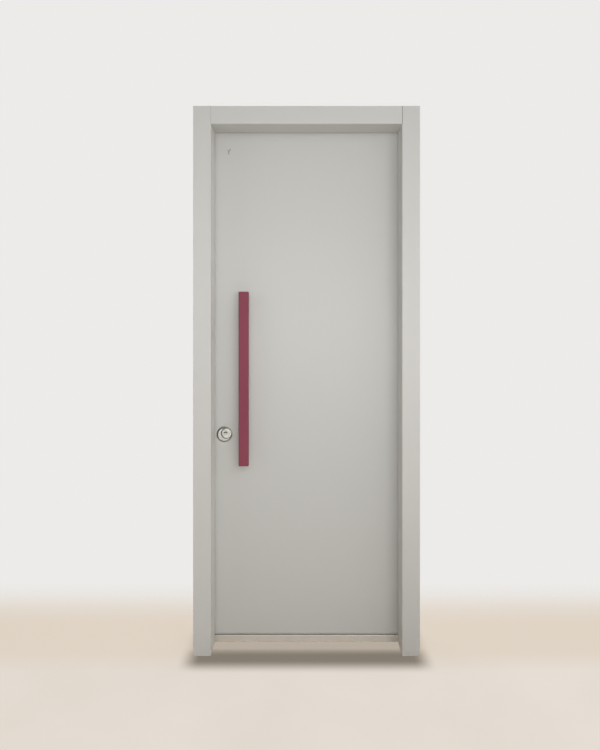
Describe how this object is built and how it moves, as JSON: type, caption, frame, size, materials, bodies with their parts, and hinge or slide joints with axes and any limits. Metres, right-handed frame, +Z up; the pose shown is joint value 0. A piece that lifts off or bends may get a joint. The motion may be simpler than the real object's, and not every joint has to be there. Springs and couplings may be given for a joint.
{
  "type": "security door",
  "caption": "Flush armoured entrance door with a pull bar and round lock guard, in a pressed steel frame with linings and casing boards, its leaf opening inwards.",
  "frame": {"origin": "on the floor, at the middle of the threshold's underside", "axes": "+X to the right seen from outside (the hinge side), +Y inwards through the door, +Z up"},
  "size_m": [0.953, 0.245, 2.199],
  "materials": {
    "white_laminate": "satin off-white laminate on board",
    "leaf_laminate": "satin off-white laminate on board",
    "core_filling": "ribbed steel sheet with filling, closed in",
    "frame_paint": "powder-coated pressed steel",
    "trim_steel": "plastic-coated folded sheet",
    "hinge_steel": "painted steel",
    "zinc_steel": "zinc-plated steel",
    "bright_steel": "nickel-plated steel",
    "threshold_metal": "brushed stainless sill",
    "seal_rubber": "black rubber",
    "burgundy_paint": "satin burgundy powder coat",
    "lock_chrome": "satin chrome",
    "plug_metal": "worn steel",
    "lever_metal": "satin chrome"
  },
  "bodies": {
    "frame": {"threshold": "threshold_metal", "frame_jamb_lock": "frame_paint", "frame_jamb_hinge": "frame_paint", "frame_head": "frame_paint", "frame_stops": "frame_paint", "strike_reinforcement": "zinc_steel", "latch_keeper": "zinc_steel", "lining_left": "white_laminate", "lining_right": "white_laminate", "lining_head": "white_laminate", "architrave_left": "white_laminate", "architrave_right": "white_laminate", "architrave_head": "white_laminate", "inner_architrave_left": "white_laminate", "inner_architrave_right": "white_laminate", "inner_architrave_head": "white_laminate", "gaskets": "seal_rubber", "lower_hinge_frame_half": "hinge_steel", "lower_hinge_pin": "zinc_steel", "upper_hinge_frame_half": "hinge_steel", "upper_hinge_pin": "zinc_steel"},
    "leaf": {"leaf_core": "core_filling", "outer_panel": "leaf_laminate", "inner_panel": "leaf_laminate", "edge_trim_lock": "trim_steel", "edge_trim_hinge": "trim_steel", "edge_trim_top": "trim_steel", "edge_trim_bottom": "trim_steel", "bottom_seal": "seal_rubber", "lock_faceplate": "zinc_steel", "main_bolts": "bright_steel", "latch": "bright_steel", "deviator_plates": "zinc_steel", "deviator_bolts": "bright_steel", "dog_bolts": "bright_steel", "lower_hinge_leaf_half": "hinge_steel", "upper_hinge_leaf_half": "hinge_steel", "pull_bar": "burgundy_paint", "pull_standoffs": "burgundy_paint", "defender_escutcheon": "lock_chrome", "inner_roses": "lever_metal", "lever_handle": "lever_metal", "thumb_turn": "lever_metal"},
    "plug": {"lock_plug": "plug_metal"}
  },
  "joints": [
    {"name": "leaf_swing", "type": "hinge", "parent": "frame", "child": "leaf", "pos_m": [0.4025, 0.051, 0], "axis": [0, 0, -1], "range_deg": [0, 110]},
    {"name": "lock_plug_turn", "type": "hinge", "parent": "leaf", "child": "plug", "pos_m": [-0.33253, -0.04, 0.866], "axis": [0, -1, 0], "continuous": true}
  ]
}
